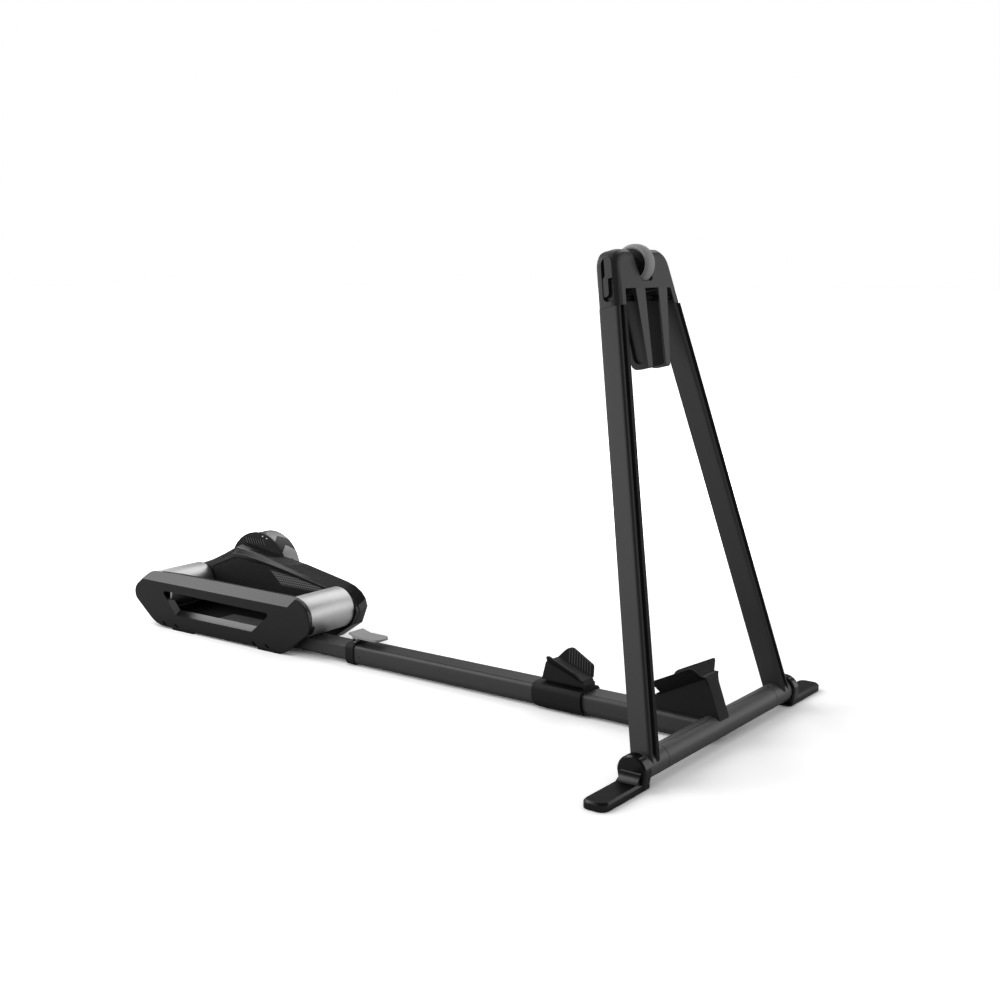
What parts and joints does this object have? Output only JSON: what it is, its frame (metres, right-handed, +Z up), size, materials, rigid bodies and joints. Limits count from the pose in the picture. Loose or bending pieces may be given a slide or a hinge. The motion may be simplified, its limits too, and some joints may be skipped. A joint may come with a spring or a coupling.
{
  "type": "bike rollers",
  "caption": "Indoor rollers for one bicycle: twin aluminium rollers with a flywheel unit on a sliding beam, two wheel cradles and an A-shaped frame that grips the front wheel.",
  "frame": {"origin": "on the floor, under the middle of the whole stand's box", "axes": "+X forward, from the rollers to the A-frame; +Y to the flywheel side; +Z up"},
  "size_m": [1.5256, 0.7966, 0.8624],
  "materials": {
    "satin_black": "satin",
    "shell_black": "satin, fine grain",
    "gloss_black": "gloss",
    "cast_grey": "fine grain",
    "black_plastic": "matte",
    "black_rubber": "matte",
    "aluminium": "brushed",
    "steel": "turned",
    "lever_grey": "satin",
    "dial_grey": "satin",
    "copper": "lacquered"
  },
  "bodies": {
    "base": {"cross_tube": "satin_black", "near_tube_plug": "cast_grey", "far_tube_plug": "cast_grey", "pivot_shaft": "steel", "near_foot": "gloss_black", "far_foot": "gloss_black", "near_foot_pad": "black_rubber", "far_foot_pad": "black_rubber", "front_boom": "satin_black", "boom_plug": "cast_grey", "slide_bush": "black_plastic", "clamp_collar": "cast_grey", "lever_pin": "steel", "front_cradle": "cast_grey"},
    "lever": {"clamp_lever": "lever_grey"},
    "cradle": {"cradle_sleeve": "cast_grey", "rear_cradle": "cast_grey"},
    "a_frame": {"near_leg": "satin_black", "far_leg": "satin_black", "near_leg_collar": "satin_black", "far_leg_collar": "satin_black", "near_collar_bush": "black_plastic", "far_collar_bush": "black_plastic", "head_cap": "shell_black", "guide_rod": "steel"},
    "dial": {"dial_rim": "dial_grey", "dial_hub": "black_plastic", "dial_spindle": "steel"},
    "near_grip": {"near_arm": "shell_black", "near_arm_pad": "black_rubber"},
    "far_grip": {"far_arm": "shell_black", "far_arm_pad": "black_rubber"},
    "near_button": {"near_tab": "shell_black"},
    "far_button": {"far_tab": "shell_black"},
    "carriage": {"inner_boom": "satin_black", "unit_base": "cast_grey", "near_side_plate": "shell_black", "near_front_pad": "black_rubber", "near_rear_pad": "black_rubber", "far_front_pad": "black_rubber", "far_rear_pad": "black_rubber", "bay_wall": "shell_black", "bay_panel": "black_plastic", "drive_cover": "shell_black", "power_inlet": "black_plastic", "flywheel_shroud": "black_plastic", "brake_stator": "copper", "drive_belt": "black_rubber", "front_axle": "steel"},
    "front_drum": {"front_roller": "aluminium", "front_roller_near_hub": "cast_grey", "front_roller_far_hub": "cast_grey"},
    "rear_drum": {"rear_roller": "aluminium", "rear_roller_near_hub": "cast_grey", "rear_roller_far_hub": "cast_grey", "rear_shaft": "steel"},
    "fly": {"flywheel": "steel", "flywheel_shaft": "steel"}
  },
  "joints": [
    {"name": "frame_fold", "type": "hinge", "parent": "base", "child": "a_frame", "pos_m": [0.73526, 0, 0.029], "axis": [0, 1, 0], "range_deg": [-68, 0]},
    {"name": "dial_turn", "type": "hinge", "parent": "a_frame", "child": "dial", "pos_m": [0.55656, 0, 0.82747], "axis": [0, 1, 0], "range_deg": [-181, 618]},
    {"name": "near_arm_slide", "type": "slide", "parent": "a_frame", "child": "near_grip", "axis": [0, 1, 0], "range_m": [-0.00351, 0.012]},
    {"name": "far_arm_slide", "type": "slide", "parent": "a_frame", "child": "far_grip", "axis": [0, -1, 0], "range_m": [-0.00351, 0.012]},
    {"name": "near_tab_press", "type": "slide", "parent": "a_frame", "child": "near_button", "axis": [0, 1, 0], "range_m": [0, 0.0025], "stiffness_N_per_m": 600, "springref_m": -0.0005},
    {"name": "far_tab_press", "type": "slide", "parent": "a_frame", "child": "far_button", "axis": [0, -1, 0], "range_m": [0, 0.0025], "stiffness_N_per_m": 600, "springref_m": -0.0005},
    {"name": "boom_slide", "type": "slide", "parent": "base", "child": "carriage", "axis": [1, 0, 0], "range_m": [-0.11, 0.06]},
    {"name": "lever_flip", "type": "hinge", "parent": "base", "child": "lever", "pos_m": [-0.10304, 0, 0.053], "axis": [0, 1, 0], "range_deg": [-50, 0]},
    {"name": "cradle_slide", "type": "slide", "parent": "base", "child": "cradle", "axis": [1, 0, 0], "range_m": [-0.06, 0.04]},
    {"name": "front_roller_spin", "type": "hinge", "parent": "carriage", "child": "front_drum", "pos_m": [-0.24174, 0, 0.085], "axis": [0, 1, 0], "continuous": true},
    {"name": "rear_roller_spin", "type": "hinge", "parent": "carriage", "child": "rear_drum", "pos_m": [-0.68974, 0, 0.085], "axis": [0, 1, 0], "continuous": true},
    {"name": "flywheel_spin", "type": "hinge", "parent": "carriage", "child": "fly", "pos_m": [-0.53274, 0, 0.125], "axis": [0, 1, 0], "continuous": true}
  ],
  "couplings": [
    {"joint": "dial_turn", "follows": "near_arm_slide", "rad_per_m": 897.6},
    {"joint": "far_arm_slide", "follows": "near_arm_slide", "ratio": 1},
    {"joint": "flywheel_spin", "follows": "rear_roller_spin", "ratio": 2.4615}
  ]
}
